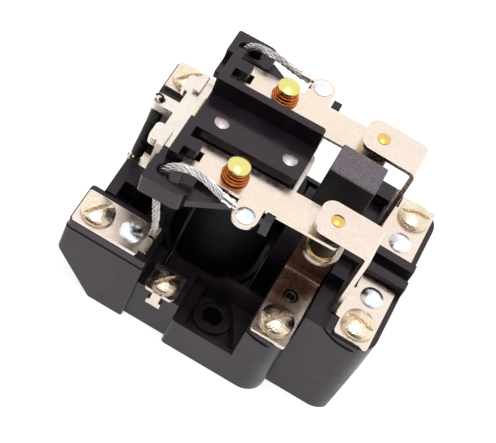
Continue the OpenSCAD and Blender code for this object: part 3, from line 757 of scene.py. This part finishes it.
def make_pin(side, end, arm):
    """Guide pin of one arm and the conical spring between its head and the arm."""
    tilted = TILT @ Matrix.Translation((PIN_X, side * POLE_Y, 0))
    pin = Shape().add(lathe(dome_profile(2.25, 1.05, 0.3, PIN_NECK, 14), 64), tilted)
    pin.add(lathe(rod_profile(1.0, PIN_FOOT, PIN_NECK + SUNK)), tilted, 1)
    piece = pin.build(f"guide_pin_{end}", "zinc_pin", "eyelet")
    settle(piece, "armature", "zinc_pin", f"guide_pin_{end}")

    wire = 0.22
    foot, tip = (0, 0, ARM_TOP + wire + SUNK), (0, 0, PIN_NECK - wire)
    coil = helix(foot, tip, 2.65, 1.8, 4.6, 32, 0.35)
    spring = Shape().add(tube(coil, wire, 12), tilted)
    piece = spring.build(f"overtravel_spring_{end}", "spring_copper")
    settle(piece, arm, "spring_copper", f"overtravel_spring_{end}")
    # The pin's head comes up to 0.14 mm closer to the arm as the armature closes
    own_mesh(piece)


def make_braid_rivet(side, end, arm):
    """Rivet that holds the braid's ferrule on the arm's ear."""
    tilted = TILT @ Matrix.Translation((EAR_X, side * EAR_Y, 0))
    rivet = Shape().add(lathe(dome_profile(1.95, 0.7, 0.14, ARM_TOP)), tilted)
    rivet.add(lathe(rod_profile(1.0, ARM_BOTTOM - 0.4, ARM_TOP + SUNK)), tilted)
    piece = rivet.build(f"braid_rivet_{end}", "rivet")
    settle(piece, arm, "rivet", f"braid_rivet_{end}")


def make_pole(side):
    """Contacts, pin, spring, rivet and braid of one pole; side is -1 in front."""
    end = "front" if side < 0 else "rear"
    arm = f"arm_{end}"
    make_contacts(side, end, arm)
    make_pin(side, end, arm)
    make_braid_rivet(side, end, arm)
    make_braid(side, end)
    make_ferrule(side, end, arm)


BRAID_PATH = [
    (-7.6, -18.3, 43.45), (-9.3, -18.1, 43.9), (-11.2, -17.9, 44.5), (-13.2, -17.8, 44.8),
    (-15.2, -17.8, 44.8), (-17.0, -18.0, 44.4), (-18.4, -18.2, 43.6), (-19.4, -18.4, 42.4),
    (-19.8, -18.5, 40.8), (-19.8, -18.6, 38.9), (-19.5, -18.7, 36.7), (-19.0, -18.8, 34.2),
    (-18.4, -18.8, 31.6), (-17.7, -18.7, 28.9), (-17.1, -18.6, 26.4), (-16.7, -18.5, 24.0),
    (-16.6, -18.4, 21.7),
]  # fmt: skip


# The braid's wires: how many bundles and wires in each, their radii, and their turns' lengths
BUNDLES, WIRES = 6, 4
WIRE_RADIUS, CORE_RADIUS, ROPE_RADIUS, BUNDLE_RADIUS = 0.125, 0.42, 0.52, 0.17
LAY, OWN_LAY = 7.5, 3.1
# Where the braid is pinched, from its foot, and how far each pinch spreads
PINCHES = ((1.6, 0.5), (4.4, 0.6))
PINCH_DEPTH = 0.22


def pinched(to_foot):
    """Share of its full thickness that the braid has at a distance from its foot."""
    share = 1
    for at, spread in PINCHES:
        share -= PINCH_DEPTH * math.exp(-((to_foot - at) ** 2) / spread)
    return share


def make_braid(side, end):
    """Flexible lead of tinned wires: bundles laid round each other, pinched near the foot."""
    step = 0.14
    path = smooth_path([(x, -side * y, z) for x, y, z in BRAID_PATH], step)
    frames = path_frames(path)
    # The core is painted dark: painted shade between the wires.
    shape = Shape().add(tube(path, CORE_RADIUS, 8), LEVEL, 1)
    loose = random.Random(BRAID_SEED)
    for bundle in range(BUNDLES):
        start = 2 * math.pi * (bundle + loose.uniform(-0.1, 0.1)) / BUNDLES
        for wire in range(WIRES):
            own_start = 2 * math.pi * wire / WIRES + loose.uniform(-0.3, 0.3)
            line = []
            for i, (point, across, up) in enumerate(frames):
                run = 2 * math.pi * i * step
                turn, own = start + run / LAY, own_start - run / OWN_LAY
                turn += BUNDLE_RADIUS * math.sin(own) / ROPE_RADIUS
                to_foot = (len(frames) - 1 - i) * step
                out = pinched(to_foot) * (ROPE_RADIUS + BUNDLE_RADIUS * math.cos(own))
                line.append(point + out * (math.cos(turn) * across + math.sin(turn) * up))
            shape.add(tube(line, WIRE_RADIUS, 5))
    braid = shape.build(f"braid_{end}", "braid", "shaded_braid_core", smooth_angle=60)
    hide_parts(f"braid_{end}")
    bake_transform(braid)


def make_ferrule(side, end, arm):
    """Crimped sleeve that holds the braid's upper end on the arm."""
    sleeve = [(0, 0), (0.9, 0), (1.0, 0.1), (1.0, 0.5), (0.86, 0.75), (0.86, 1.35), (1.0, 1.6)]
    sleeve += [(1.0, 2.3), (0.92, 2.42), (0.72, 2.5), (0.66, 3.1), (0, 3.1)]
    place = (
        TILT
        @ Matrix.Translation((-7.2, side * 18.3, ARM_TOP + 1.25))
        @ Matrix.Rotation(side * math.radians(6), 4, "Z")
        @ Matrix.Rotation(math.radians(97), 4, "Y")
    )
    piece = Shape().add(lathe(sleeve, 36), place).build(f"ferrule_{end}", "contact_silver")
    settle(piece, arm, "braid", f"ferrule_{end}")


def make_return_spring():
    """Close-wound extension spring between the armature's tab and its anchor, with two hooks."""
    wire, outside, step = 0.25, 1.3, 0.15
    bottom, top = Vector((-28.75, 0, 17.6)), Vector((-28.2, 0, 33.9))
    pitch = 2.3 * wire
    turns = (top - bottom).length / pitch
    coil = helix(bottom, top, outside - wire, outside - wire, turns, 20, 0.0)
    upper = [
        (-28.5, 0.1, 34.4), (-28.3, 0, 35.2), (-28.25, 0, 36.2), (-28.25, 0, 37.3),
        (-28.6, 0, 37.85), (-29.3, 0, 37.8), (-29.8, 0, 37.2),
    ]  # fmt: skip
    lower = [
        (-30.3, 0, 16.2), (-30.1, 0, 15.5), (-29.5, 0, 15.1), (-28.9, 0, 15.4),
        (-28.75, 0, 16.3), (-28.6, 0.1, 17.1),
    ]  # fmt: skip
    lower_hook = smooth_path([*lower, coil[0]], step)
    upper_hook = smooth_path([coil[-1], *upper], step)
    spring = Shape().add(tube([*lower_hook[:-1], *coil, *upper_hook[1:]], wire, 8))
    piece = spring.build("return_spring", "spring_black", smooth_angle=60)
    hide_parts("return_spring")
    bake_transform(piece)


# ---------------------------------------------------------------- coil and magnet


def make_coil():
    """Tape round the winding, laid in overlapping turns."""
    low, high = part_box("coil_wrap")
    bottom, top = low.z / MM, high.z / MM
    radius = (high.x - low.x) / 2 / MM
    inside = radius - 0.45
    layers = 5
    width = (top - bottom) / layers
    profile = [(inside, bottom), (radius - 0.06, bottom)]
    for i in range(layers):
        foot = bottom + i * width
        profile += [(radius, foot + 0.05), (radius, foot + width * 0.5)]
        profile += [(radius - 0.07, foot + width - 0.02)]
    profile += [(inside, top), (inside, bottom)]
    wrap = Shape().add(lathe(profile, 96), Matrix.Translation((COIL_X, 0, 0)))
    settle(wrap.build("coil_wrap", "coil_tape", smooth_angle=25), "root", "coil_tape", "coil_wrap")


def make_magnet():
    """Blow-out magnet with a coarse sintered surface and slightly crumbled edges."""
    low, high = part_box("blowout_magnet")
    chamfer, crumble = 0.45, 0.05
    size = [(b - a) / MM for a, b in zip(low, high)]
    centre = [(a + b) / 2 / MM for a, b in zip(low, high)]
    piece = Shape().add(block(size, centre)).build("blowout_magnet", "ferrite")
    grown = bmesh.new()
    grown.from_mesh(piece.data)
    edges = list(grown.edges)
    bmesh.ops.bevel(
        grown, geom=edges, offset=chamfer * MM, segments=3, profile=0.6, affect="EDGES"
    )
    long_edges = [e for e in grown.edges if e.calc_length() > 1.5 * MM]
    bmesh.ops.subdivide_edges(grown, edges=long_edges, cuts=24, use_grid_fill=True)
    rough = random.Random(MAGNET_SEED)
    middle = Vector(centre) * MM
    for vert in grown.verts:
        inward = (middle - vert.co).normalized()
        vert.co += inward * rough.random() * crumble * MM
    grown.to_mesh(piece.data)
    grown.free()
    piece.data.polygons.foreach_set("use_smooth", [True] * len(piece.data.polygons))
    settle(piece, "root", "ferrite", "blowout_magnet")


# ---------------------------------------------------------------- stage


def camera():
    """Looks down on the front pole from slightly to the right, turned as if the relay leant."""
    azimuth, elevation, roll = math.radians(1.683), math.radians(52.734), math.radians(29.166)
    distance, aim = 326.26, Vector((-1.81, -2.44, 20.0))
    level = math.cos(elevation)
    back = Vector((math.sin(azimuth) * level, -math.cos(azimuth) * level, math.sin(elevation)))
    right = Vector((math.cos(azimuth), math.sin(azimuth), 0))
    up = back.cross(right)
    turned_right = math.cos(roll) * right + math.sin(roll) * up
    turned_up = math.cos(roll) * up - math.sin(roll) * right
    rotation = Matrix((turned_right, turned_up, back)).transposed().to_4x4()
    data = bpy.data.cameras.new("camera")
    data.lens = 116.2
    data.sensor_width = 36
    data.clip_start = 0.01
    made = bpy.data.objects.new("camera", data)
    made.matrix_world = Matrix.Translation((aim + back * distance) * MM) @ rotation
    scene.collection.objects.link(made)
    scene.camera = made


def area_light(name, place, aim, size, power):
    """Soft white square at a place, facing a point; lengths in millimetres."""
    data = bpy.data.lights.new(name, "AREA")
    data.size = size * MM
    data.energy = power
    lamp = bpy.data.objects.new(name, data)
    lamp.location = Vector(place) * MM
    lamp.rotation_euler = (Vector(aim) - Vector(place)).to_track_quat("-Z", "Y").to_euler()
    scene.collection.objects.link(lamp)


def stand(name, verts, faces, paint):
    """Object of the stage, from vertices in millimetres."""
    mesh = bpy.data.meshes.new(name)
    mesh.from_pydata([Vector(v) * MM for v in verts], [], faces)
    mesh.materials.append(paint.material)
    made = bpy.data.objects.new(name, mesh)
    scene.collection.objects.link(made)
    return made


def surroundings():
    """White all round but dark in front of the relay, where the metal reflects it."""
    world = bpy.data.worlds.new("world")
    world.use_nodes = True
    tree = world.node_tree
    split = tree.nodes.new("ShaderNodeSeparateXYZ")
    shade = tree.nodes.new("ShaderNodeMapRange")
    for socket, value in (
        ("From Min", -0.62),
        ("From Max", -0.35),
        ("To Min", 0.10),
        ("To Max", 1.22),
    ):
        shade.inputs[socket].default_value = value
    coordinates = tree.nodes.new("ShaderNodeTexCoord")
    tree.links.new(coordinates.outputs["Generated"], split.inputs["Vector"])
    tree.links.new(split.outputs["Y"], shade.inputs["Value"])
    tree.links.new(shade.outputs["Result"], tree.nodes["Background"].inputs["Color"])
    scene.world = world


def stage():
    """Pale floor with a dark card under the relay, white surroundings and one soft light."""
    glow = {"Emission_Color": (1, 1, 1, 1), "Emission_Strength": 0.75}
    white = Paint("floor_white", (0.5, 0.5, 0.5), 0.9, **glow)
    white.colour(white.clouds((0.44, 0.44, 0.44), (0.48, 0.48, 0.48), 60, 2, 0.3))
    half = 1500
    corners = [(-half, -half, 0), (half, -half, 0), (half, half, 0), (-half, half, 0)]
    floor = stand("floor", corners, [[0, 1, 2, 3]], white)

    dark = Paint("shadow_card", (0.012, 0.012, 0.012), 0.9)
    dark.colour(dark.blend(dark.noise(5), (0.010, 0.010, 0.010), (0.016, 0.016, 0.016)))
    # So that the glowing floor does not shine up through the openings of the base
    under = stand("shadow_card", *block((46, 39.8, 0.04), (3, 0, 0)), dark)

    surroundings()
    area_light("overhead", (-20, -90, 600), (0, 0, 20), 300, 0.85)
    scene.view_settings.view_transform = "Standard"
    scene.view_settings.exposure = 0.0


camera()
stage()
dress_all()
make_screws()
make_rivets()
make_pole(-1)
make_pole(1)
make_return_spring()
make_coil()
make_magnet()
